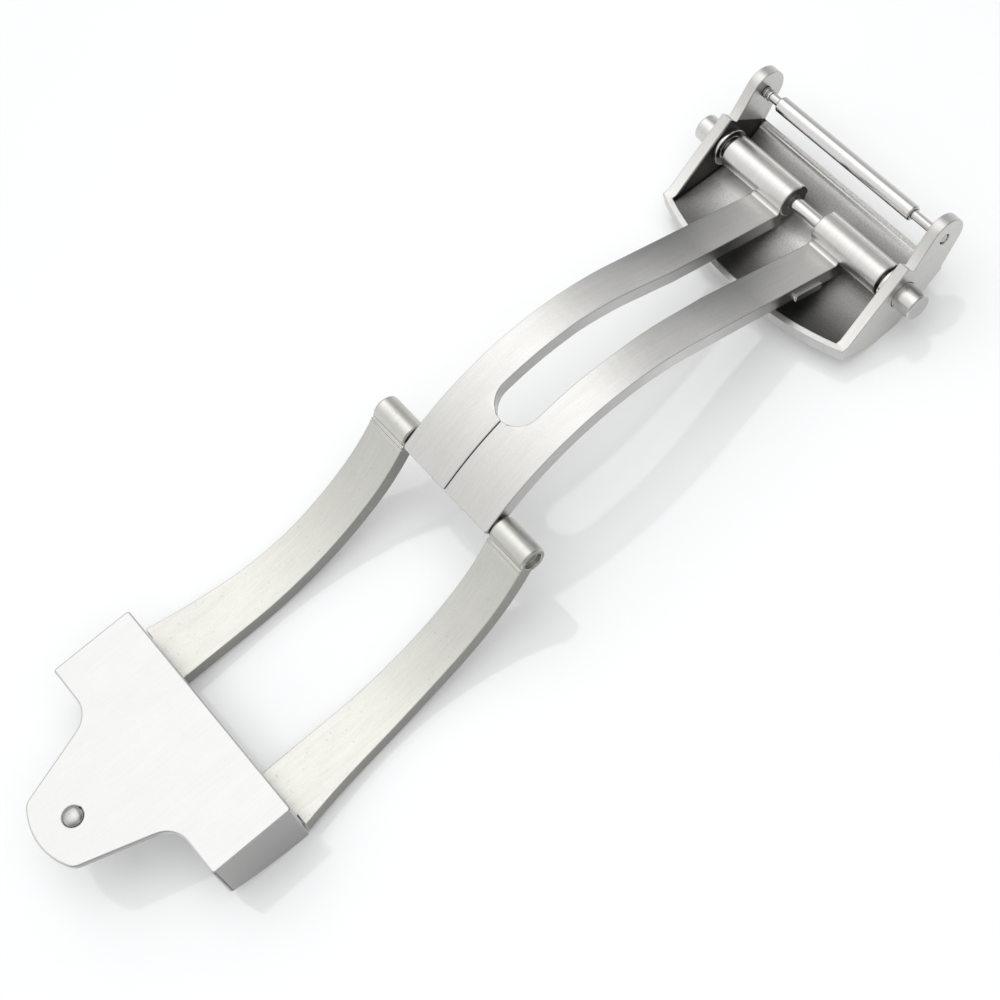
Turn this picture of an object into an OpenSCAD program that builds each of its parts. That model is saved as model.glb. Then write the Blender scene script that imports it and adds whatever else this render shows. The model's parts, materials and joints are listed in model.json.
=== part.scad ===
// Deployant clasp for a leather watch strap, lying opened out with its wrist side up.
// X runs along the clasp from the end box to the cover, Y across it, Z up. Millimetres.

/* [Strap] */
// width of the strap end that the spring bar holds
strap_w = 20; // [19:0.5:21]
// free play of that strap end on each side
strap_play = 0.3; // [0.2:0.05:0.4]

/* [End box] */
// width over the two side skirts
box_w = 23.3; // [22.8:0.1:24]
// length of the flat top over the skirts
box_l = 7.8; // [7.4:0.1:8.4]
// height of the skirts
box_h = 6.15; // [5.9:0.05:6.4]
// thickness of the top sheet and of the tongue
sheet_t = 0.6; // [0.5:0.05:0.7]
// thickness of a skirt
skirt_t = 1.1; // [1:0.05:1.2]
// radius of the skirts' bowed lower edge
skirt_bow_r = 29.5; // [28:0.5:32]
// distance from the top's front edge to the tongue's tip
tongue_reach = 17.05; // [16.8:0.05:17.6]
// width of the tongue at the stud
tongue_w = 8.8; // [8.4:0.1:9.2]
// angle of the tongue's sides to its length
tongue_taper = 19; // [17:0.5:20]
// radius of the tongue's end
tongue_end_r = 6.3; // [6:0.1:6.8]
// radius between the tongue's end and its sides
tongue_corner_r = 1.3; // [1:0.1:1.5]
// radius of the hollow between the tongue and the box
tongue_fillet_r = 2.4; // [2.1:0.1:2.6]

/* [Stud] */
// distance from the top's front edge to the stud
stud_at = 13.6; // [13.3:0.05:13.9]
// diameter of the stud's riveted dome
dome_d = 1.7; // [1.6:0.05:1.8]
// diameter of the peg that goes through the strap
peg_d = 2.2; // [2.15:0.05:2.3]
// length of that peg below the tongue
peg_l = 2.2; // [2:0.05:2.4]

/* [Outer arms] */
// thickness of the arms' sheet
arm_t = 1.4; // [1.3:0.05:1.45]
// height of the arms' flat top beside the end box
arm_h = 1.97; // [1.9:0.01:2.1]
// length of the flat stretch
flat_l = 7.13; // [6.9:0.01:7.4]
// radius and angle of the first bend
bend1_r = 28.75; // [28:0.25:30]
bend1_a = 28; // [27:0.25:28.5]
// radius and angle of the second bend, up to the hinge
bend2_r = 18.86; // [18.4:0.01:19.4]
bend2_a = 21.3; // [21:0.1:21.6]
// width over both arms at the middle hinge
waist_w = 19.7; // [19.5:0.1:20]
// distance from the end box at which the arms have narrowed to that width
waist_at = 17.2; // [16.5:0.1:18]

/* [Inner arms] */
// width over both inner arms
inner_w = 11; // [10.8:0.05:11.1]
// free play between inner and outer arms on each side
side_play = 0.15; // [0.1:0.01:0.2]
// radius of the arch
arch_r = 25.3; // [25:0.1:25.6]
// angles of the arch before and after its crown
arch_a1 = 31; // [30.5:0.25:31.5]
arch_a2 = 20.5; // [20:0.25:21]
// length of the straight stretch down to the cover hinge
straight_l = 17.8; // [17.6:0.05:18]
// length of the joined stretch before the slot
joined_l = 5.45; // [5.2:0.05:6]
// half width of the slot at its round end, at its middle and at the cover hinge
slot_r = 2.19; // [2:0.01:2.25]
slot_mid = 1.75; // [1.7:0.01:1.8]
slot_out = 1.95; // [1.9:0.01:2]
// visible seam between the two arms
seam = 0.06; // [0.04:0.01:0.1]
// length of the small stop rib on each arm's outer side, and how far it stands out
rib_l = 3; // [2.8:0.1:3.2]
rib_out = 0.34; // [0.3:0.01:0.36]

/* [Hinges] */
// diameter of the middle hinge's barrels and of its pin
knuckle_d = 2.5; // [2.4:0.05:2.6]
mid_pin_d = 1.4; // [1.3:0.05:1.5]
// diameter of the cover hinge's barrels and of its pin
barrel_d = 3; // [2.9:0.05:3.1]
cover_pin_d = 1.3; // [1.2:0.05:1.35]
// bare length of the pin between the two barrels
pin_gap = 3.64; // [3.4:0.05:3.8]
// radial clearance of a turning fit and of a sliding one
run_fit = 0.04; // [0.03:0.005:0.05]
slide_fit = 0.03; // [0.02:0.005:0.04]
// radial gap left at a pressed or riveted seat
seat = 0.01; // [0.005:0.005:0.015]

/* [Cover] */
// thickness of the side walls and of the ears
wall_t = 1.06; // [1:0.01:1.15]
// slope of the side walls' upper edge
rim_slope = 32; // [31.5:0.25:32.5]
// height of that edge over the hinge axis, square to the slope
rim_over = 2.17; // [2.1:0.01:2.2]
// distance from the hinge axis forward to the lip's middle
lip_reach = 8.75; // [8.5:0.05:9]
// radius of the lip in plan
lip_r = 33.9; // [33:0.1:36]
// width of the flat band along the lip
lip_band = 0.62; // [0.5:0.02:0.7]
// depth of the lip below the hinge axis, and its thickness
lip_drop = 1.25; // [1.2:0.01:1.3]
lip_t = 1.5; // [1.4:0.05:1.6]
// depth of the floor below the hinge axis
floor_drop = 2.1; // [2.08:0.01:2.16]
// radius of the floor in front of its deepest line
floor_r = 36; // [34:0.5:38]
// thickness of the floor at its deepest
floor_t = 1.8; // [1.7:0.05:1.9]
// radius of the floor's rear trough
trough_r = 8.5; // [8.3:0.05:8.6]
// radius of an ear
ear_r = 1.85; // [1.8:0.01:1.9]

/* [Buttons] */
// diameter of a button
button_d = 2.5; // [2.4:0.05:2.55]
// how far a button stands out of its wall
button_out = 1.88; // [1.8:0.02:2]
// travel of a button
button_travel = 0.4; // [0.3:0.05:0.4]
// diameter and thickness of the retaining collar
collar_d = 3.6; // [3.5:0.05:3.7]
collar_t = 0.4; // [0.35:0.01:0.4]

/* [Spring bar] */
// diameter and length of the tube
bar_d = 1.5; // [1.45:0.05:1.6]
bar_l = 16.2; // [15.8:0.1:16.4]
// how far the tube floats to the left of the middle
bar_off = 0.3; // [0:0.05:0.35]
// diameter of a tip
tip_d = 0.85; // [0.8:0.01:0.88]
// travel of a tip
tip_travel = 1.02; // [1.01:0.01:1.03]
// radial clearance of a tip in its ear
tip_fit = 0.08; // [0.06:0.01:0.1]

/* [Hidden] */
$fn = 72;
hair = 0.02;
// angle by which one bend laps into the next stretch of sheet
lap = 0.3;

ear_gap = strap_w + 2 * strap_play;
wall_in = ear_gap / 2;
wall_out = wall_in + wall_t;
arm_in = inner_w / 2 + side_play;
skirt_in = box_w / 2 - skirt_t;

// the outer arms rise along two bends, and the middle hinge sits within their sheet
bend1_c = [flat_l, arm_h + bend1_r];
bend_join = bend1_c + bend1_r * [sin(bend1_a), -cos(bend1_a)];
bend2_c = bend_join - bend2_r * [sin(bend1_a), -cos(bend1_a)];
hinge_a = bend1_a + bend2_a;
knuckle_sink = 1.02;
// gap between a skirt and the wide part of its arm
joint = 0.08;
pin_sink = 0.45;
mid = bend2_c + (bend2_r + knuckle_sink) * [sin(hinge_a), -cos(hinge_a)];

// the inner arms' arch starts at the middle hinge and ends above the cover hinge
arch_sink = 1.08;
arch_c = mid + (arch_r - arch_sink) * [sin(arch_a1), -cos(arch_a1)];
arch_end = arch_c + arch_r * [sin(arch_a2), cos(arch_a2)];
barrel_lift = 0.94;
arm_nose = 0.92;
cov = arch_end + straight_l * [cos(arch_a2), -sin(arch_a2)]
    + barrel_lift * [sin(arch_a2), cos(arch_a2)];

// places in the cover are measured from its hinge axis
bar = [4.76, 3.09];
ear = [5.02, 3];
notch = [1.35, 2.05];
crest = [4.4, -0.62];
heel = [4.5, -0.9];
sole = [-0.8, -floor_drop - floor_t];
sole_front = [-2.6, -floor_drop - floor_t];
sole_r = 6.4;
deep = -0.9;

// the clasp stands on the skirts' front corners and on the cover's sole
low = cov + sole;
tilt = atan2(low[1], low[0]);
x_tip = -tongue_reach * cos(tilt) + (box_h - sheet_t) * sin(tilt);
x_ear = (cov + ear)[0] * cos(tilt) + (cov + ear)[1] * sin(tilt) + ear_r;

collar_in = wall_in - hair - collar_t;
barrel_out = collar_in - button_travel - 2 * hair;
shank_end = wall_out + button_out;
pin_end = wall_in + 0.3;
tip_end = wall_out - 0.06;
lip_in_bar = 0.3;
piston = bar_l / 2 - lip_in_bar - 2 * hair;
tip_bore = bar_d / 2 - 0.25;

steel = [0.80, 0.79, 0.76];
polished = [0.88, 0.87, 0.85];
wire = [0.62, 0.62, 0.63];

// points of an arc from angle a0 to a1
function arc(c, r, a0, a1, n = 8) =
    [for (i = [0:n]) c + r * [cos(a0 + (a1 - a0) * i / n), sin(a0 + (a1 - a0) * i / n)]];

// where the line from p touches a circle, on its left (s = 1) or right (s = -1)
function touch(p, c, r, s) =
    let (d = norm(c - p), a = atan2(c[1] - p[1], c[0] - p[0]) + s * asin(r / d))
    p + sqrt(d * d - r * r) * [cos(a), sin(a)];

// stands the clasp on the table, middled over the origin
module lay() translate([-(x_tip + x_ear) / 2, 0, 0]) rotate([0, tilt, 0]) children();

// a side profile, drawn in X and Z, as wide as from y0 to y1
module across(y0, y1) translate([0, y1, 0]) rotate([90, 0, 0]) linear_extrude(y1 - y0) children();

// a pin or hole along Y
module rod(at, r, y0, y1) translate([at[0], y0, at[1]]) rotate([-90, 0, 0]) cylinder(h = y1 - y0, r = r);

// a turned piece along Y: its outline is drawn as radius and distance along Y
module turned(at) translate([at[0], 0, at[1]]) rotate([-90, 0, 0]) rotate_extrude() children();

// half outline of a barrel with eased rims
module barrel_half(r, y0, y1, ease)
    polygon(concat([[0, y0]], arc([r - ease, y0 + ease], ease, -90, 0, 4),
        arc([r - ease, y1 - ease], ease, 0, 90, 4), [[0, y1]]));

// a curved stretch of sheet between two angles
module bend(c, r_big, r_small, a0, a1)
    translate(c) intersection() {
        difference() {
            circle(r_big);
            circle(r_small);
        }
        polygon([[0, 0], 2 * r_big * [cos(a0), sin(a0)],
            2 * r_big * [cos((a0 + a1) / 2), sin((a0 + a1) / 2)], 2 * r_big * [cos(a1), sin(a1)]]);
    }

// a coil spring along Y, one unbroken wire between y0 and y1
module coil(at, r, wire_r, turns, y0, y1) {
    steps = turns * 12;
    sides = 6;
    points = [for (i = [0:steps], k = [0:sides - 1])
        let (a = i * 30, b = k * 360 / sides, q = r + wire_r * cos(b))
        [at[0] + q * cos(a), y0 + wire_r + (y1 - y0 - 2 * wire_r) * i / steps + wire_r * sin(b),
            at[1] + q * sin(a)]];
    walls = [for (i = [0:steps - 1], k = [0:sides - 1], half = [0, 1])
        let (j = (k + 1) % sides, here = i * sides, next = here + sides)
        half == 0 ? [here + k, here + j, next + j] : [here + k, next + j, next + k]];
    polyhedron(points, concat(walls, [[for (k = [sides - 1:-1:0]) k]],
        [[for (k = [0:sides - 1]) steps * sides + k]]));
}

// the end box: top sheet with its tongue, and two skirts
module plate_outline() {
    side = [-sin(tongue_taper), cos(tongue_taper)];
    along = [cos(tongue_taper), sin(tongue_taper)];
    side_d = side * [-stud_at, tongue_w / 2];
    end_c = [-tongue_reach + tongue_end_r, 0];
    rise = side_d - tongue_corner_r - side * end_c;
    corner_c = end_c + rise * side
        - sqrt(pow(tongue_end_r - tongue_corner_r, 2) - rise * rise) * along;
    turn = atan2(corner_c[1] - end_c[1], corner_c[0] - end_c[0]);
    hollow_x = -box_l - tongue_fillet_r;
    hollow_c = [hollow_x, (side_d + tongue_fillet_r - side[0] * hollow_x) / side[1]];
    back_r = 0.25;
    front_r = 0.3;
    half = concat(arc(end_c, tongue_end_r, 180, turn, 6),
        arc(corner_c, tongue_corner_r, turn, 90 + tongue_taper, 6),
        arc(hollow_c, tongue_fillet_r, tongue_taper - 90, 0, 10),
        arc([-box_l + back_r, box_w / 2 - back_r], back_r, 180, 90, 3),
        arc([-front_r, box_w / 2 - front_r], front_r, 90, 0, 6));
    n = len(half);
    polygon(concat(half, [for (i = [1:n - 1]) [half[n - i][0], -half[n - i][1]]]));
}

module skirt_profile() {
    bow_a = asin(box_l / skirt_bow_r);
    polygon(concat([[0, box_h - sheet_t / 2], [-box_l, box_h - sheet_t / 2]],
        arc([0, skirt_bow_r], skirt_bow_r, -90 - bow_a, -90, 6)));
}

module end_plate() color(steel) lay() difference() {
    union() {
        translate([0, 0, box_h - sheet_t]) linear_extrude(sheet_t) plate_outline();
        intersection() {
            for (s = [0, 1]) mirror([0, s, 0]) across(skirt_in, box_w / 2) skirt_profile();
            translate([0, 0, -1]) linear_extrude(box_h + 1) plate_outline();
        }
    }
    translate([-stud_at, 0, box_h - sheet_t - 1]) cylinder(h = sheet_t + 2, d = 1.2 + 2 * seat);
    translate([-stud_at, 0, box_h - 0.25]) cylinder(h = 1, d = dome_d + 2 * seat);
}

// the stud: riveted dome above the tongue, peg below it
module strap_stud() color(polished) lay() translate([-stud_at, 0, box_h]) rotate_extrude() {
    under = -sheet_t - peg_l;
    ease = 0.3;
    polygon(concat([[0, under]], arc([peg_d / 2 - ease, under + ease], ease, -90, 0, 5),
        [[peg_d / 2, -sheet_t], [0.6, -sheet_t], [0.6, -0.25], [dome_d / 2, -0.25], [dome_d / 2, -0.05]],
        [for (i = [1:6]) [dome_d / 2 * cos(i * 15), -0.05 + 0.3 * sin(i * 15)]]));
}

// an outer arm: brazed between the skirts, narrowing and rising to the middle hinge
module outer_profile() {
    root = -box_l * 0.54;
    polygon(concat([[root, arm_h - arm_t], [root, arm_h]],
        arc(bend1_c, bend1_r, -90, -90 + bend1_a, 20),
        arc(bend2_c, bend2_r, -90 + bend1_a + 1, -90 + hinge_a, 18),
        arc(bend2_c, bend2_r + arm_t, -90 + hinge_a, -90 + bend1_a + 1, 18),
        arc(bend1_c, bend1_r + arm_t, -90 + bend1_a, -90, 20)));
}

module outer_plan() {
    step = box_w / 2 - waist_w / 2;
    hollow_r = (waist_at * waist_at + step * step) / (2 * step);
    difference() {
        union() {
            translate([-box_l, arm_in]) square([box_l + 1, skirt_in - arm_in]);
            translate([joint, arm_in]) square([waist_at - joint, box_w / 2 - arm_in]);
            translate([waist_at - 1, arm_in]) square([mid[0] - waist_at + 3, waist_w / 2 - arm_in]);
        }
        intersection() {
            translate([waist_at, waist_w / 2 + hollow_r]) circle(hollow_r);
            translate([0, waist_w / 2]) square([waist_at, box_w]);
        }
    }
}

module outer_arm() difference() {
    union() {
        intersection() {
            across(0, box_w) outer_profile();
            translate([0, 0, -1]) linear_extrude(mid[1] + 4) outer_plan();
        }
        turned(mid) barrel_half(knuckle_d / 2, arm_in, waist_w / 2, 0.25);
    }
    rod(mid, mid_pin_d / 2 + seat, 0, box_w);
    rod(mid, mid_pin_d / 2 + 0.12, waist_w / 2 - pin_sink, box_w);
    for (g = [[0.78, 0.12], [1.16, 0.08]]) rod(mid - g[0] * [cos(hinge_a), sin(hinge_a)]
        - (knuckle_sink + 0.02) * [sin(hinge_a), -cos(hinge_a)], g[1], 0, box_w);
}

module outer_arm_left() color(steel) lay() outer_arm();
module outer_arm_right() color(steel) lay() mirror([0, 1, 0]) outer_arm();

// the middle hinge's pin, ends set back in the barrels
module mid_hinge_pin() color(polished) lay()
    turned(mid) barrel_half(mid_pin_d / 2, pin_sink - waist_w / 2, waist_w / 2 - pin_sink, 0.1);

// the fillet in which an inner arm's top runs up its barrel
module weld_profile() {
    r = 0.35;
    rise = barrel_lift - r;
    at = straight_l - sqrt(pow(barrel_d / 2 + r - 0.02, 2) - rise * rise);
    polygon(concat([[at, -0.3]], arc([at, r - 0.01], r, -90, atan2(rise, straight_l - at), 6),
        [[straight_l - 0.7, 0.7], [straight_l - 0.7, -0.3]]));
}

// an inner arm: square end over the hinge, arch, straight stretch with its stop rib, and cover barrel
module inner_profile() {
    translate(mid) circle(arch_sink - 0.02);
    translate(mid) rotate(arch_a1) translate([-arm_nose, -0.4]) square([arm_nose, arch_sink + 0.4]);
    bend(arch_c, arch_r, arch_r - arm_t, 90 - arch_a2 - lap, 90 + arch_a1 + lap);
    translate(arch_end) rotate(-arch_a2) weld_profile();
    intersection() {
        translate(arch_end) rotate(-arch_a2) translate([0, -arm_t]) square([straight_l + 2, arm_t]);
        union() {
            translate([arch_end[0] - 1, 0]) square([cov[0] - 1.45 - arch_end[0] + 1, 2 * arch_end[1]]);
            translate(cov) circle(1.85);
        }
    }
}

module inner_plan() {
    slot_x = mid[0] + joined_l + slot_r;
    back = mid[0] - arm_nose - arch_sink / 2;
    ease = 0.5;
    edge = inner_w / 2;
    difference() {
        polygon(concat([[back, seam / 2]], arc([back + ease, edge - ease], ease, 180, 90, 6),
            [[cov[0] - 1, edge - 0.2], [cov[0] + 2, edge - 0.2], [cov[0] + 2, seam / 2]]));
        translate([slot_x, 0]) circle(slot_r);
        polygon([[slot_x, -1], [slot_x, slot_r], [slot_x + 8, slot_r - 0.04],
            [slot_x + 17.4, slot_mid], [cov[0] - 2, slot_out], [cov[0] + 3, slot_out], [cov[0] + 3, -1]]);
    }
}

module inner_arm() difference() {
    union() {
        intersection() {
            across(0, inner_w) inner_profile();
            translate([0, 0, -1]) linear_extrude(arch_end[1] + 4) inner_plan();
        }
        turned(cov) barrel_half(barrel_d / 2, pin_gap / 2, barrel_out, 0.15);
        intersection() {
            rod(cov, barrel_d / 2 + 0.15, pin_gap / 2, barrel_out);
            across(0, strap_w) translate(cov) rotate(-10) square(barrel_d);
            across(0, strap_w) translate(cov) rotate(-42) square(barrel_d);
        }
        across(inner_w / 2 - 0.5, inner_w / 2 - 0.16 + rib_out) translate(arch_end) rotate(-arch_a2)
            translate([straight_l - 6.3, -arm_t]) square([rib_l, arm_t / 2]);
    }
    rod(mid, mid_pin_d / 2 + run_fit, -1, inner_w);
    rod(cov, cover_pin_d / 2 + seat, -1, strap_w);
}

module inner_arm_left() color(steel) lay() inner_arm();
module inner_arm_right() color(steel) lay() mirror([0, 1, 0]) inner_arm();

// the cover hinge's pin, its ends running in the buttons
module cover_hinge_pin() color(polished) lay()
    turned(cov) barrel_half(cover_pin_d / 2, -pin_end, pin_end, 0.1);

// the cover: troughed floor, sloping walls and the two ears
module wall_profile() {
    rim_x = -lip_drop / tan(rim_slope) - rim_over / sin(rim_slope);
    peak_x = 0.7;
    front_a = -90 - asin((sole_front[0] + 6.2) / sole_r);
    polygon(concat([[-lip_reach - 0.1, -lip_drop], [rim_x, -lip_drop],
        [peak_x, peak_x * tan(rim_slope) + rim_over / cos(rim_slope)], notch,
        touch(notch, ear, ear_r, 1)], [ear], [touch(crest, ear, ear_r, -1), crest, heel, sole],
        arc([sole_front[0], sole_front[1] + sole_r], sole_r, -90, front_a, 6),
        [[-lip_reach - 0.1, -lip_drop - lip_t]]));
    translate(ear) circle(ear_r);
}

module floor_profile() {
    front_a = -90 - asin((sole_front[0] + 6.2) / sole_r);
    polygon(concat([[-lip_reach - 0.1, -lip_drop], [-4, -lip_drop], [2, crest[1]], crest, heel, sole],
        arc([sole_front[0], sole_front[1] + sole_r], sole_r, -90, front_a, 6),
        [[-lip_reach - 0.1, -lip_drop - lip_t]]));
}

module hollow_profile() {
    rise_a = acos(1 - (floor_drop + crest[1]) / trough_r);
    dip_a = asin((lip_reach + deep + 1) / floor_r);
    polygon(concat([[-lip_reach - 1, 8]],
        arc([deep, floor_r - floor_drop], floor_r, -90 - dip_a, -90 - dip_a / 12, 11),
        arc([deep, trough_r - floor_drop], trough_r, -90, -90 + rise_a, 12),
        [[crest[0] + 3, crest[1]], [crest[0] + 3, 8]]));
}

module cover_shell() color(steel) lay() translate([cov[0], 0, cov[1]]) difference() {
    intersection() {
        union() {
            across(-wall_in - 0.1, wall_in + 0.1) floor_profile();
            for (s = [0, 1]) mirror([0, s, 0]) across(wall_in, wall_out) wall_profile();
        }
        union() {
            translate([lip_r - lip_reach, 0, -10]) cylinder(h = 20, r = lip_r);
            translate([0, -strap_w, -10]) cube([20, 2 * strap_w, 20]);
        }
    }
    intersection() {
        across(-wall_in, wall_in) hollow_profile();
        translate([lip_r - lip_reach + lip_band, 0, -10]) cylinder(h = 20, r = lip_r);
    }
    rod([0, 0], button_d / 2 + slide_fit, -strap_w, strap_w);
    rod(bar, tip_d / 2 + tip_fit, -strap_w, strap_w);
}

// a push button: a plain round slider with a blind bore for the pin and its spring
module button() difference() {
    turned(cov) barrel_half(button_d / 2, collar_in, shank_end, 0.18);
    rod(cov, cover_pin_d / 2 + run_fit, 0, shank_end - 0.35);
}

module button_collar() difference() {
    rod(cov, collar_d / 2, collar_in, collar_in + collar_t);
    rod(cov, button_d / 2 + seat, 0, strap_w);
}

module button_spring() coil(cov, 0.42, 0.08, 4, pin_end + hair, shank_end - 0.35 - hair);

module button_left() color(polished) lay() button();
module button_right() color(polished) lay() mirror([0, 1, 0]) button();
module button_collar_left() color(polished) lay() button_collar();
module button_collar_right() color(polished) lay() mirror([0, 1, 0]) button_collar();
module button_spring_left() color(wire) lay() button_spring();
module button_spring_right() color(wire) lay() mirror([0, 1, 0]) button_spring();

// the spring bar: crimped tube, two shouldered tips and the coil between them
module spring_bar_tube() color(polished) lay() difference() {
    turned(cov + bar) barrel_half(bar_d / 2, bar_off - bar_l / 2, bar_off + bar_l / 2, 0.2);
    rod(cov + bar, tip_bore, bar_off - bar_l / 2 + lip_in_bar, bar_off + bar_l / 2 - lip_in_bar);
    rod(cov + bar, tip_d / 2 + slide_fit, -bar_l, bar_l);
}

module bar_tip(head, rims) turned(cov + bar) union() {
    rim = tip_d / 2 + 0.12;
    translate([0, head - 0.8]) square([tip_bore - slide_fit, 0.8]);
    translate([0, head - 0.1]) square([tip_d / 2, tip_end - 0.1 - head]);
    polygon(concat([[0, tip_end - 0.3]], arc([tip_d / 2 - 0.15, tip_end - 0.15], 0.15, 0, 90, 4),
        [[0, tip_end]]));
    for (k = [0:rims - 1]) translate([0, wall_in - 0.42 - 0.43 * k]) square([rim, 0.22]);
}

module bar_tip_left() color(polished) lay() bar_tip(piston + bar_off, 2);
module bar_tip_right() color(polished) lay() mirror([0, 1, 0]) bar_tip(piston - bar_off, 0);
module bar_spring() color(wire) lay()
    coil(cov + bar, tip_bore - 0.14, 0.09, 14, bar_off + hair + 0.8 - piston, bar_off + piston - 0.8 - hair);

end_plate();
strap_stud();
outer_arm_left();
outer_arm_right();
mid_hinge_pin();
inner_arm_left();
inner_arm_right();
cover_hinge_pin();
cover_shell();
button_left();
button_right();
button_collar_left();
button_collar_right();
button_spring_left();
button_spring_right();
spring_bar_tube();
bar_tip_left();
bar_tip_right();
bar_spring();
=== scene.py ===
import json
import math

import bmesh
import bpy
from mathutils import Euler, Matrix
from mathutils.bvhtree import BVHTree


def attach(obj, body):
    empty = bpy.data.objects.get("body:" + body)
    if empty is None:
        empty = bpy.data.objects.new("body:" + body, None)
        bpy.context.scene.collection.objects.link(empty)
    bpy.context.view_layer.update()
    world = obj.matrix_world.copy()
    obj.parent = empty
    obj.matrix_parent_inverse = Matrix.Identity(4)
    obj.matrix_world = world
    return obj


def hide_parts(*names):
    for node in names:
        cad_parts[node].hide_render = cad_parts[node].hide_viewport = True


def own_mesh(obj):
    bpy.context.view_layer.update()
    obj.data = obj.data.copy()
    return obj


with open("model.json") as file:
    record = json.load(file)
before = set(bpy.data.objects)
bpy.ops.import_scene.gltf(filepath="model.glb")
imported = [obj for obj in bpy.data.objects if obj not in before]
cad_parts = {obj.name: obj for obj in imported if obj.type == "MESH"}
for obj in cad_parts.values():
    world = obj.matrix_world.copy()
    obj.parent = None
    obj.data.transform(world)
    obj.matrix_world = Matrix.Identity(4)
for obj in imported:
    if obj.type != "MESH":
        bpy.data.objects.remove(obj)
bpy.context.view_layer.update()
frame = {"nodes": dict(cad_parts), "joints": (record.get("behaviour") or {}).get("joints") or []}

# The end box: a flat top with a rounded tongue, and two skirts, bent up from one satin steel sheet.
# A belt has brushed its top along the clasp, and the tumbling barrel has eased and brightened
# every outer edge.


def applied(piece):
    """Turns what a piece's modifiers make into its mesh."""
    graph = bpy.context.evaluated_depsgraph_get()
    done = bpy.data.meshes.new_from_object(piece.evaluated_get(graph))
    piece.modifiers.clear()
    piece.data = done
    return done


def tumbled(node, name, ease, cuts=()):
    """A copy of a CAD node's mesh, its outer edges eased as a tumbling barrel leaves them. Cuts
    across it, at places along Y, keep the facets of an even width for the smooth shading."""
    same_point, on_cut = 2e-6, 1e-6
    same_face, corner = 0.4, 24  # degrees that two faces turn
    mesh = bpy.data.meshes.new(name)
    work = bmesh.new()
    work.from_mesh(frame["nodes"][node].data)
    bmesh.ops.remove_doubles(work, verts=work.verts, dist=same_point)
    bmesh.ops.dissolve_limit(work, angle_limit=math.radians(same_face),
                            verts=work.verts, edges=work.edges)
    for across in cuts:
        bmesh.ops.bisect_plane(work, geom=[*work.verts, *work.edges, *work.faces], dist=on_cut,
                               plane_co=(0, across, 0), plane_no=(0, 1, 0))
    work.normal_update()
    shape = BVHTree.FromBMesh(work)
    worn = work.edges.layers.float.new("bevel_weight_edge")
    for face in work.faces:
        face.smooth = True
    for edge in work.edges:
        turn = math.degrees(edge.calc_face_angle_signed(0))
        edge[worn] = 1.0 if turn > corner else 0.0
        edge.smooth = turn > -corner
    work.to_mesh(mesh)
    work.free()
    piece = bpy.data.objects.new(name, mesh)
    bpy.context.scene.collection.objects.link(piece)
    bevel = piece.modifiers.new("eased edges", "BEVEL")
    bevel.width = ease
    bevel.segments = 3
    bevel.limit_method = "WEIGHT"
    bevel.use_clamp_overlap = False
    bevel.miter_outer = "MITER_ARC"
    bevel.material = 1
    flat = piece.modifiers.new("true flats", "WEIGHTED_NORMAL")
    flat.mode = "FACE_AREA"
    flat.weight = 50
    flat.keep_sharp = True
    mesh.materials.append(None)
    mesh.materials.append(None)
    done = applied(piece)
    for vertex in done.vertices:  # a point that the bevel threw too far goes back to the surface
        near, _, _, stray = shape.find_nearest(vertex.co)
        if stray > 0.9 * ease:
            vertex.co = near
    piece.name = done.name = name
    return piece


def feed(tree, sockets, values):
    """Links each socket to the output given for it, or sets it to the plain value given."""
    for socket, value in zip(sockets, values):
        if isinstance(value, bpy.types.NodeSocket):
            tree.links.new(value, socket)
        else:
            socket.default_value = value


def reckoned(tree, kind, *values):
    """One step of arithmetic on the places and shares of a finish."""
    step = tree.nodes.new("ShaderNodeMath")
    step.operation = kind
    feed(tree, step.inputs, values)
    return step.outputs["Value"]


def graded(tree, source, start, end, low=0.0, high=1.0, kind="LINEAR"):
    """Runs from low to high as the source goes from start to end, and stays there past them."""
    span = tree.nodes.new("ShaderNodeMapRange")
    span.interpolation_type = kind
    sockets = [span.inputs[name] for name in ("Value", "From Min", "From Max", "To Min", "To Max")]
    feed(tree, sockets, (source, start, end, low, high))
    return span.outputs["Result"]


def blended(tree, blend, factor, first, second, kind="RGBA"):
    """Two tones blended, or two plain values if the kind is FLOAT. The sockets go by number,
    because the kinds share their names."""
    mix = tree.nodes.new("ShaderNodeMix")
    mix.data_type, mix.blend_type = kind, blend
    a, b, result = {"RGBA": (6, 7, 2), "FLOAT": (2, 3, 0)}[kind]
    feed(tree, (mix.inputs[0], mix.inputs[a], mix.inputs[b]), (factor, first, second))
    return mix.outputs[result]


def axes(tree, source):
    """The X, Y and Z of a place or of the way a face looks."""
    parts = tree.nodes.new("ShaderNodeSeparateXYZ")
    tree.links.new(source, parts.inputs["Vector"])
    return [parts.outputs[axis] for axis in "XYZ"]


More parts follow.
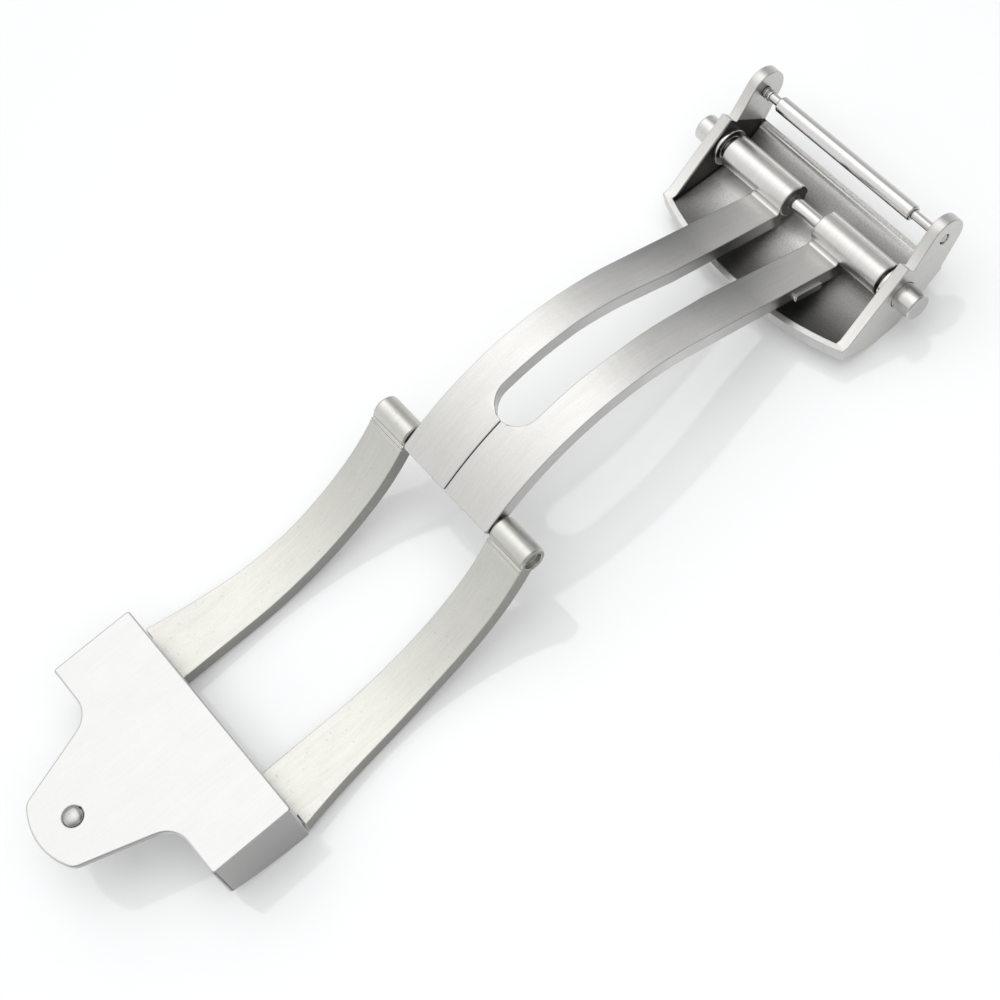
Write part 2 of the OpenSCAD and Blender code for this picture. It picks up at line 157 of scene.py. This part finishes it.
def satin(name, tone, rough, streak=0.10, pits=0.0, sides_dull_and_shaded=0.75):
    """Belt-brushed steel: hair lines along the clasp, fine grain, cloudy patches, a few pits, and
    sides facing across Y painted darker, partly for the duller finish of cut sides and partly as
    painted shade."""
    steel = bpy.data.materials.new(name)
    steel.use_nodes = True
    tree = steel.node_tree
    shader = tree.nodes["Principled BSDF"]
    shader.inputs["Metallic"].default_value = 1
    place = tree.nodes.new("ShaderNodeTexCoord")

    def grain(along, across, up, detail=4.0):
        """Noise with about so many grains to the metre along X, Y and Z."""
        stretch = tree.nodes.new("ShaderNodeMapping")
        stretch.inputs["Scale"].default_value = (along, across, up)
        tree.links.new(place.outputs["Object"], stretch.inputs["Vector"])
        noise = tree.nodes.new("ShaderNodeTexNoise")
        noise.inputs["Scale"].default_value = 1
        noise.inputs["Detail"].default_value = detail
        noise.inputs["Roughness"].default_value = 0.62
        tree.links.new(stretch.outputs["Vector"], noise.inputs["Vector"])
        return noise.outputs["Fac"]

    def sum_of(*shares):
        total = 0
        for source, share in shares:
            total = reckoned(tree, "MULTIPLY_ADD", source, share, total)
        return total

    _, sideways, _ = axes(tree, place.outputs["Normal"])
    on_side = reckoned(tree, "ABSOLUTE", sideways)
    top_hairs, side_hairs = grain(260, 8200, 260), grain(260, 260, 6200)
    hairs = blended(tree, "MIX", on_side, top_hairs, side_hairs, kind="FLOAT")
    bands, patches = grain(90, 1500, 90), grain(230, 230, 230, detail=3.0)
    fine, finest = grain(5200, 5200, 5200, detail=2.0), grain(6800, 6800, 6800, detail=2.0)
    height = sum_of((hairs, 0.6), (fine, 0.4))
    tint = sum_of((hairs, 0.40), (bands, 0.13), (finest, 0.32), (patches, 0.15))
    if pits:
        dots = tree.nodes.new("ShaderNodeTexVoronoi")
        dots.inputs["Scale"].default_value = 1150
        tree.links.new(place.outputs["Object"], dots.inputs["Vector"])
        dent = graded(tree, dots.outputs["Distance"], 0.05, 0.14, -pits, 0)
        height = sum_of((height, 1.0), (dent, 1.0))
        tint = sum_of((tint, 1.0), (dent, 0.45))
    darker = (*[c * (1 - streak) for c in tone], 1)
    lighter = (*[min(1, c * (1 + streak)) for c in tone], 1)
    brushed = blended(tree, "MIX", graded(tree, tint, 0.36, 0.64), darker, lighter)
    # faces across Y darkened: painted shade, and on cut sides their duller finish too
    darker_sides = graded(tree, on_side, 0.75, 1, 1, sides_dull_and_shaded)
    tree.links.new(blended(tree, "MULTIPLY", 1, brushed, darker_sides), shader.inputs["Base Color"])
    gloss = graded(tree, grain(240, 700, 240, detail=3.0), 0.3, 0.7,
                   rough - 0.35 * streak, rough + 0.35 * streak)
    tree.links.new(gloss, shader.inputs["Roughness"])
    bump = tree.nodes.new("ShaderNodeBump")
    bump.inputs["Strength"].default_value = 0.45
    bump.inputs["Distance"].default_value = 0.00002
    tree.links.new(height, bump.inputs["Height"])
    tree.links.new(bump.outputs["Normal"], shader.inputs["Normal"])
    return steel


def dress(piece, finish, edge, node, body):
    """Gives a piece its finish and its edges' finish, and lets it stand for its CAD node."""
    piece.data.materials.clear()
    piece.data.materials.append(finish)
    piece.data.materials.append(edge)
    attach(piece, body)
    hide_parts(node)


# the skirts' outer faces are painted darker as shade, the box's cut sides partly for their finish
box_satin = satin("end box satin", (0.655, 0.656, 0.643), rough=0.34, streak=0.035, sides_dull_and_shaded=0.60)
worn_edge = satin("worn edge", (0.60, 0.59, 0.57), rough=0.15, streak=0.06)
end_box = tumbled("end_plate", "end_box", ease=0.00018)
dress(end_box, box_satin, worn_edge, "end_plate", "base")

# The strap stud: a rivet set in the tongue, with a small bare dome above and its peg on the strap's
# side. The hammering of the rivet has left the dome dull and a little dimpled.
hammered = satin("hammered steel", (0.52, 0.515, 0.505), rough=0.20, streak=0.12, pits=0.8)
stud = tumbled("strap_stud", "stud", ease=0.00005)
dress(stud, hammered, worn_edge, "strap_stud", "base")

# The outer arms: two curved strips of steel sheet, brushed along their length and brazed under the
# end box. Their ends are rolled into the middle hinge's barrels, and the heat has left faint pits.
outer_satin = satin("outer arm satin", (0.626, 0.623, 0.583), rough=0.33, streak=0.08, pits=0.9,
                    sides_dull_and_shaded=0.46)
# the arms' eased edges get a dark tone: a painted dark reflection along them
arm_edge_painted_dark = satin("arm edge painted dark", (0.40, 0.395, 0.38), rough=0.20, streak=0.10)
for side in ("left", "right"):
    arm = tumbled("outer_arm_" + side, "outer_strip_" + side, ease=0.00009)
    dress(arm, outer_satin, arm_edge_painted_dark, "outer_arm_" + side, "base")

# The middle hinge's pin: a polished steel rod, pressed into the outer arms' barrels.
# Its ends lie set back in them.
polished = satin("polished steel", (0.70, 0.695, 0.68), rough=0.13, streak=0.05)
mid_pin = tumbled("mid_hinge_pin", "middle_pin", ease=0.00005)
dress(mid_pin, polished, worn_edge, "mid_hinge_pin", "base")

# The inner arms: an arched pair of satin steel, brushed along their length, with painted sheen and
# painted shade along the arch and across each arm before the cover, joined near the middle hinge
# and parted by the long slot. Each ends in a barrel of the cover's hinge, whose end faces towards
# the near side are painted dark as shade.
inner_satin = satin("inner arm satin", (0.65, 0.645, 0.625), rough=0.32, streak=0.08, sides_dull_and_shaded=0.78)
tree = inner_satin.node_tree
shader = tree.nodes["Principled BSDF"]
place = tree.nodes.new("ShaderNodeTexCoord")
x_here, y_here, _ = axes(tree, place.outputs["Object"])
_, sideways, _ = axes(tree, place.outputs["Normal"])
arm_span = 40  # mm from the origin, past the arms' ends
along_arm = graded(tree, x_here, 0, arm_span / 1000)


def toned(tree, source, stops):
    """A tone that follows the source from 0 to 1, through stops of a place and a colour."""
    ramp = tree.nodes.new("ShaderNodeValToRGB")
    marks = ramp.color_ramp.elements
    marks.remove(marks[1])
    for number, (at, colour) in enumerate(stops):
        mark = marks.new(at) if number else marks[0]
        mark.position, mark.color = at, (*colour, 1)
    tree.links.new(source, ramp.inputs["Fac"])
    return ramp.outputs["Color"]


def painted_along(tones):
    """Painted light and shade that change along the arms, through places in mm from the origin."""
    return toned(tree, along_arm, [(at / arm_span, (tone,) * 3) for at, tone in tones])


# painted sheen from about 13 to 21 mm along the arms, painted shade from about 23 to 31 mm
painted_sheen_along = painted_along(((11, 1.0), (13.5, 1.05), (15.6, 1.12), (17.5, 1.18), (19, 1.17),
                             (20.6, 1.07), (22.2, 0.98), (24.1, 0.81), (26, 0.68), (27.8, 0.62),
                             (29.6, 0.76), (31.4, 0.87), (33.3, 1.03), (35, 1.05)))
# across each arm: painted sheen towards its near edge, painted shade towards its far edge
near_edge, slot_edge, far_start = -0.0055, -0.0017, 0.0016
from_near = reckoned(tree, "WRAP", y_here, far_start, near_edge)
cross_light = graded(tree, from_near, near_edge, slot_edge, 0.34, -0.30)
cross_light_share = painted_along(((15, 0), (21, 0.4), (23, 0.8), (29, 1), (33, 0.4), (35, 0)))
painted_cross_light = reckoned(tree, "MULTIPLY_ADD", cross_light, cross_light_share, 1)
tone_here = shader.inputs["Base Color"].links[0].from_socket
for painted_light in (painted_sheen_along, painted_cross_light):
    tone_here = blended(tree, "MULTIPLY", 1, tone_here, painted_light)
# the barrels' end faces that face the near side are painted dark, as shade
at_barrels = graded(tree, x_here, 0.0350, 0.0354)
facing_near = graded(tree, sideways, -0.85, -0.97)
shaded_ends = reckoned(tree, "MULTIPLY", at_barrels, facing_near)
end_shade = blended(tree, "MIX", shaded_ends, tone_here, (0.16, 0.157, 0.15, 1))
tree.links.new(end_shade, shader.inputs["Base Color"])
for side in ("left", "right"):
    arm = tumbled("inner_arm_" + side, "inner_strip_" + side, ease=0.00009, cuts=(-0.0023, 0.0023))
    dress(arm, inner_satin, arm_edge_painted_dark, "inner_arm_" + side, "link")

# The cover hinge's pin: a polished rod pressed into the inner arms' barrels, bare between them.
# Its ends reach into the push buttons.
cover_pin = tumbled("cover_hinge_pin", "cover_pin", ease=0.00005)
dress(cover_pin, polished, worn_edge, "cover_hinge_pin", "link")

# The cover: an open box, milled from solid steel and blasted inside, with satin rims and lips.
# Its inside is coloured with painted light and shade. Two ears at its rear hold the spring bar.


def pivot(joint):
    """The place about which a joint of the clasp turns."""
    return next(entry["pos_m"] for entry in frame["joints"] if entry["name"] == joint)


hinge = pivot("cover_hinge")
clasp_tilt = math.radians(2.408488)
rim_slope = math.radians(32)
cover_satin = satin("cover satin", (0.63, 0.625, 0.60), rough=0.33, streak=0.08, sides_dull_and_shaded=1.0)
tree = cover_satin.node_tree
shader = tree.nodes["Principled BSDF"]
place = tree.nodes.new("ShaderNodeTexCoord")
in_cover = tree.nodes.new("ShaderNodeMapping")
in_cover.vector_type = "TEXTURE"
in_cover.inputs["Location"].default_value = hinge
in_cover.inputs["Rotation"].default_value = (0, clasp_tilt, 0)
in_cover.inputs["Scale"].default_value = (0.001, 0.001, 0.001)
tree.links.new(place.outputs["Object"], in_cover.inputs["Vector"])
x_out, y_out, z_out = axes(tree, in_cover.outputs["Vector"])  # in mm from the hinge


def fade(source, start, end, low=0.0, high=1.0):
    """Runs smoothly from low to high as the source goes from start to end in the cover."""
    return graded(tree, source, start, end, low, high, kind="SMOOTHSTEP")


# the mask of what lies within the walls, below the rims, the lip and the ears, and above the sole:
# there the cover is blasted rough and coloured with painted light and shade
off_middle = reckoned(tree, "ABSOLUTE", y_out)
in_walls = fade(off_middle, 10.33, 10.37, 1, 0)
over_slope = reckoned(tree, "MULTIPLY_ADD", x_out, -math.sin(rim_slope),
                      reckoned(tree, "MULTIPLY", z_out, math.cos(rim_slope)))
below_rim = fade(over_slope, 1.90, 2.02, 1, 0)
below_lip = fade(z_out, -1.33, -1.29, 1, 0)
below_edges = reckoned(tree, "MAXIMUM", below_rim, below_lip)
lip_x = reckoned(tree, "SUBTRACT", x_out, 25.77)  # from the middle of the lip's arc
lip_square = reckoned(tree, "MULTIPLY_ADD", lip_x, lip_x,
                      reckoned(tree, "MULTIPLY", y_out, y_out))
in_lip = fade(reckoned(tree, "POWER", lip_square, 0.5), 33.82, 33.88, 1, 0)
up_ears = reckoned(tree, "MULTIPLY_ADD", x_out, 0.673, reckoned(tree, "MULTIPLY", z_out, 0.74))
below_ears = fade(up_ears, 2.55, 2.70, 1, 0)
above_sole = fade(reckoned(tree, "MULTIPLY_ADD", x_out, -0.566, z_out), -3.25, -3.15)
above_floor = fade(z_out, -2.3, -2.2)
blasted_and_shaded = in_walls
for limit in (below_edges, in_lip, below_ears, above_sole, above_floor):
    blasted_and_shaded = reckoned(tree, "MULTIPLY", blasted_and_shaded, limit)
# painted light and shade on the floor: shade under the lip, a sheen just before the hinge, shade in
# the trough behind the barrels, lighter again towards the rear crest
floor_front, floor_rear = -8, 4
floor_stops = []  # the floor's tone from under the lip to under the ears
for where, level in ((-8, 0.13), (-6.5, 0.14), (-5.5, 0.20), (-5, 0.26), (-4, 0.36), (-3, 0.48),
                     (-2.5, 0.54), (-1.6, 0.85), (-0.5, 0.95), (0.4, 0.90), (1.6, 0.25), (2.6, 0.31),
                     (3.1, 0.38), (3.6, 0.62), (4, 0.75)):
    along = (where - floor_front) / (floor_rear - floor_front)
    floor_stops.append((along * along * (3 - 2 * along), (level, level * 0.99, level * 0.96)))
floor_painted_light = toned(tree, fade(x_out, floor_front, floor_rear), floor_stops)
# painted light: the floor before the hinge brighter towards the far wall, darker towards the near
far_painted_light = reckoned(tree, "MULTIPLY_ADD", fade(y_out, -9, 9, -0.30, 0.45),
                        fade(x_out, 0, 1.6, 1, 0), 1)
floor_here = blended(tree, "MULTIPLY", 1, floor_painted_light, far_painted_light)
# the walls' inner faces are painted dark, as shade
wall_painted_shade = fade(off_middle, 10.05, 10.28)
inside = blended(tree, "MIX", wall_painted_shade, floor_here, (0.075, 0.073, 0.070, 1))
grit = tree.nodes.new("ShaderNodeTexNoise")
grit.inputs["Scale"].default_value = 8000
grit.inputs["Detail"].default_value = 4
grit.inputs["Roughness"].default_value = 0.75
tree.links.new(place.outputs["Object"], grit.inputs["Vector"])
specks = fade(grit.outputs["Fac"], 0.32, 0.68, 0.78, 1.22)
speckled_and_shaded = blended(tree, "MULTIPLY", 1, inside, specks)
grit_gloss = fade(grit.outputs["Fac"], 0.3, 0.7, 0.34, 0.48)
for name, blast_and_shade, kind in (("Base Color", speckled_and_shaded, "RGBA"), ("Roughness", grit_gloss, "FLOAT")):
    outside = shader.inputs[name].links[0].from_socket
    tree.links.new(blended(tree, "MIX", blasted_and_shaded, outside, blast_and_shade, kind), shader.inputs[name])
rough_bump = tree.nodes.new("ShaderNodeBump")
rough_bump.inputs["Distance"].default_value = 0.00003
tree.links.new(reckoned(tree, "MULTIPLY", blasted_and_shaded, 0.5), rough_bump.inputs["Strength"])
tree.links.new(grit.outputs["Fac"], rough_bump.inputs["Height"])
tree.links.new(shader.inputs["Normal"].links[0].from_socket, rough_bump.inputs["Normal"])
tree.links.new(rough_bump.outputs["Normal"], shader.inputs["Normal"])
cover_edge = satin("cover edge", (0.66, 0.655, 0.63), rough=0.28, streak=0.06, sides_dull_and_shaded=1.0)
cover = tumbled("cover_shell", "cover", ease=0.00009)
dress(cover, cover_satin, cover_edge, "cover_shell", "cover")

# The push buttons: plain round sliders in the cover's walls, turned and polished, each with a
# retaining collar pressed on inside the wall and a coil spring that pushes it out again.
button_satin = satin("turned steel", (0.66, 0.655, 0.635), rough=0.26, streak=0.08)
wire_finish = satin("drawn wire", (0.55, 0.55, 0.56), rough=0.22, streak=0.08)
coil_tree = bpy.data.node_groups.new("coil spring", "GeometryNodeTree")
coil_tree.interface.new_socket("Geometry", in_out="OUTPUT", socket_type="NodeSocketGeometry")
for name, kind in (("Turns", "NodeSocketFloat"), ("Coil Radius", "NodeSocketFloat"),
                   ("Wire Radius", "NodeSocketFloat"), ("Length", "NodeSocketFloat"),
                   ("Place", "NodeSocketVector"), ("Finish", "NodeSocketMaterial")):
    coil_tree.interface.new_socket(name, in_out="INPUT", socket_type=kind)
given = coil_tree.nodes.new("NodeGroupInput")
result = coil_tree.nodes.new("NodeGroupOutput")
helix = coil_tree.nodes.new("GeometryNodeCurveSpiral")
helix.inputs["Resolution"].default_value = 20
wire = coil_tree.nodes.new("GeometryNodeCurvePrimitiveCircle")
wire.inputs["Resolution"].default_value = 8
sweep = coil_tree.nodes.new("GeometryNodeCurveToMesh")
sweep.inputs["Fill Caps"].default_value = True
lay = coil_tree.nodes.new("GeometryNodeTransform")
lay.inputs["Rotation"].default_value = (math.radians(-90), 0, 0)
real = coil_tree.nodes.new("GeometryNodeRealizeInstances")
finish = coil_tree.nodes.new("GeometryNodeSetMaterial")
for output, socket in ((given.outputs["Turns"], helix.inputs["Rotations"]),
                       (given.outputs["Coil Radius"], helix.inputs["Start Radius"]),
                       (given.outputs["Coil Radius"], helix.inputs["End Radius"]),
                       (given.outputs["Length"], helix.inputs["Height"]),
                       (given.outputs["Wire Radius"], wire.inputs["Radius"]),
                       (helix.outputs["Curve"], sweep.inputs["Curve"]),
                       (wire.outputs["Curve"], sweep.inputs["Profile Curve"]),
                       (sweep.outputs["Mesh"], lay.inputs["Geometry"]),
                       (given.outputs["Place"], lay.inputs["Translation"]),
                       (lay.outputs["Geometry"], real.inputs["Geometry"]),
                       (real.outputs["Geometry"], finish.inputs["Geometry"]),
                       (given.outputs["Finish"], finish.inputs["Material"]),
                       (finish.outputs["Geometry"], result.inputs["Geometry"])):
    coil_tree.links.new(output, socket)


def coil(name, turns, radius, wire_radius, start, end, axis):
    """A helical spring along Y between two places, its axis at the given X and Z."""
    piece = bpy.data.objects.new(name, bpy.data.meshes.new(name))
    bpy.context.scene.collection.objects.link(piece)
    spring = piece.modifiers.new("coil", "NODES")
    spring.node_group = coil_tree
    sizes = {"Turns": turns, "Coil Radius": radius, "Wire Radius": wire_radius,
             "Length": end - start - 2 * wire_radius,
             "Place": (axis[0], start + wire_radius, axis[1]), "Finish": wire_finish}
    for item in coil_tree.interface.items_tree:
        if item.in_out == "INPUT":
            spring[item.identifier] = sizes[item.name]
    done = applied(piece)
    done.shade_smooth()
    done.name = name
    return piece


inner, outer = 0.01062, 0.01287  # the springs' ends, off the clasp's middle
for side, sign in (("left", 1), ("right", -1)):
    body = side + "_button"
    button = tumbled("button_" + side, "push_button_" + side, ease=0.00006)
    dress(button, button_satin, button_satin, "button_" + side, body)
    collar = tumbled("button_collar_" + side, "collar_" + side, ease=0.00006)
    dress(collar, polished, worn_edge, "button_collar_" + side, body)
    start, end = sorted((sign * inner, sign * outer))
    spring = coil("push_spring_" + side, turns=4.0, radius=0.00042, wire_radius=0.00008,
                  start=start, end=end, axis=(hinge[0], hinge[2]))
    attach(spring, body)
    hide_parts("button_spring_" + side)
    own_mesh(spring)

# The spring bar: a polished tube crimped at both ends, floating a little to the left, with a
# shouldered tip in each end and the long coil between them that keeps the tips in the ears. Each
# tip presses its own half of the coil towards the tube's middle.
bar_x, _, bar_z = pivot("bar_spin")
bar_axis = (bar_x, bar_z)
tube = tumbled("spring_bar_tube", "bar_tube", ease=0.00008)
dress(tube, polished, worn_edge, "spring_bar_tube", "bar")
for side in ("left", "right"):
    tip = tumbled("bar_tip_" + side, "tip_" + side, ease=0.00004)
    dress(tip, button_satin, worn_edge, "bar_tip_" + side, side + "_tip")
right_end, coil_middle, left_end = -0.00664, 0.0003, 0.00724
for side, start, end in (("left", coil_middle, left_end), ("right", right_end, coil_middle)):
    spring = coil("bar_coil_" + side, turns=7.0, radius=0.00036, wire_radius=0.00009,
                  start=start, end=end, axis=bar_axis)
    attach(spring, "bar")
    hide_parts("bar_spring")
    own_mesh(spring)

# The table: a sheet of white gloss acrylic, lit so brightly that it nearly washes out.
# The clasp stands on it with the front corners of its end box and the sole of its cover.
half = 0.8
mesh = bpy.data.meshes.new("table")
mesh.from_pydata([(-half, -half, 0), (half, -half, 0), (half, half, 0), (-half, half, 0)],
                 [], [(0, 1, 2, 3)])
table = bpy.data.objects.new("table", mesh)
bpy.context.scene.collection.objects.link(table)
acrylic = bpy.data.materials.new("white acrylic")
acrylic.use_nodes = True
shader = acrylic.node_tree.nodes["Principled BSDF"]
shader.inputs["Base Color"].default_value = (0.72, 0.725, 0.73, 1)
shader.inputs["Roughness"].default_value = 0.09
shader.inputs["Emission Color"].default_value = (0.985, 0.99, 1.0, 1)
shader.inputs["Emission Strength"].default_value = 0.15
shader.inputs["IOR"].default_value = 1.75
mesh.materials.append(acrylic)

# The camera: as the photograph was taken, a long lens about 185 mm off, rolled so that the clasp
# rises from the lower left to the upper right.
lens = bpy.data.cameras.new("camera")
lens.lens, lens.sensor_width = 78.85, 36
lens.clip_start, lens.clip_end = 0.01, 10
camera = bpy.data.objects.new("camera", lens)
bpy.context.scene.collection.objects.link(camera)
camera.location = (-0.021668, -0.082344, 0.164029)
camera.rotation_euler = Euler((math.radians(25.199), math.radians(11.758), math.radians(-39.449)))
bpy.context.scene.camera = camera

# The light: one wide soft box overhead, whose light falls off slowly towards the end box and fast
# towards the cover, over a dim room, and a square lamp above and a little in front of the clasp,
# which keeps the shadows close.
world = bpy.data.worlds.new("room")
bpy.context.scene.world = world
world.use_nodes = True
tree = world.node_tree
background = tree.nodes["Background"]
place = tree.nodes.new("ShaderNodeTexCoord")
room_x, room_y, _ = axes(tree, place.outputs["Generated"])


def falloff(direction, levels):
    """A brightness that changes along one direction of the room, through places from -1 to 1."""
    return toned(tree, reckoned(tree, "MULTIPLY_ADD", direction, 0.5, 0.5),
                 [((where + 1) / 2, (level,) * 3) for where, level in levels])


along_clasp = falloff(room_x, ((-1, 0.45), (-0.6, 0.49), (-0.25, 0.70), (0.0, 0.81), (0.2, 0.87),
                               (0.36, 0.72), (0.5, 0.42), (0.65, 0.26), (0.8, 0.30), (1, 0.42)))
across_clasp = falloff(room_y, ((-1, 0.32), (-0.5, 0.38), (-0.2, 0.55), (0.0, 0.80), (0.2, 1.0),
                                (0.55, 1.0), (0.8, 0.72), (0.93, 0.44), (1, 0.32)))
tree.links.new(blended(tree, "MULTIPLY", 1, along_clasp, across_clasp), background.inputs["Color"])
background.inputs["Strength"].default_value = 2.0
top_lamp = bpy.data.lights.new("top lamp", "AREA")
top_lamp.shape, top_lamp.size, top_lamp.size_y, top_lamp.energy = "RECTANGLE", 0.50, 0.50, 0.80
lamp = bpy.data.objects.new("top lamp", top_lamp)
bpy.context.scene.collection.objects.link(lamp)
lamp.location = (0.0, -0.10, 0.40)
lamp.rotation_euler = (-lamp.location).to_track_quat("-Z", "Y").to_euler()
lamp.visible_glossy = False
bpy.context.scene.view_settings.view_transform = "Standard"
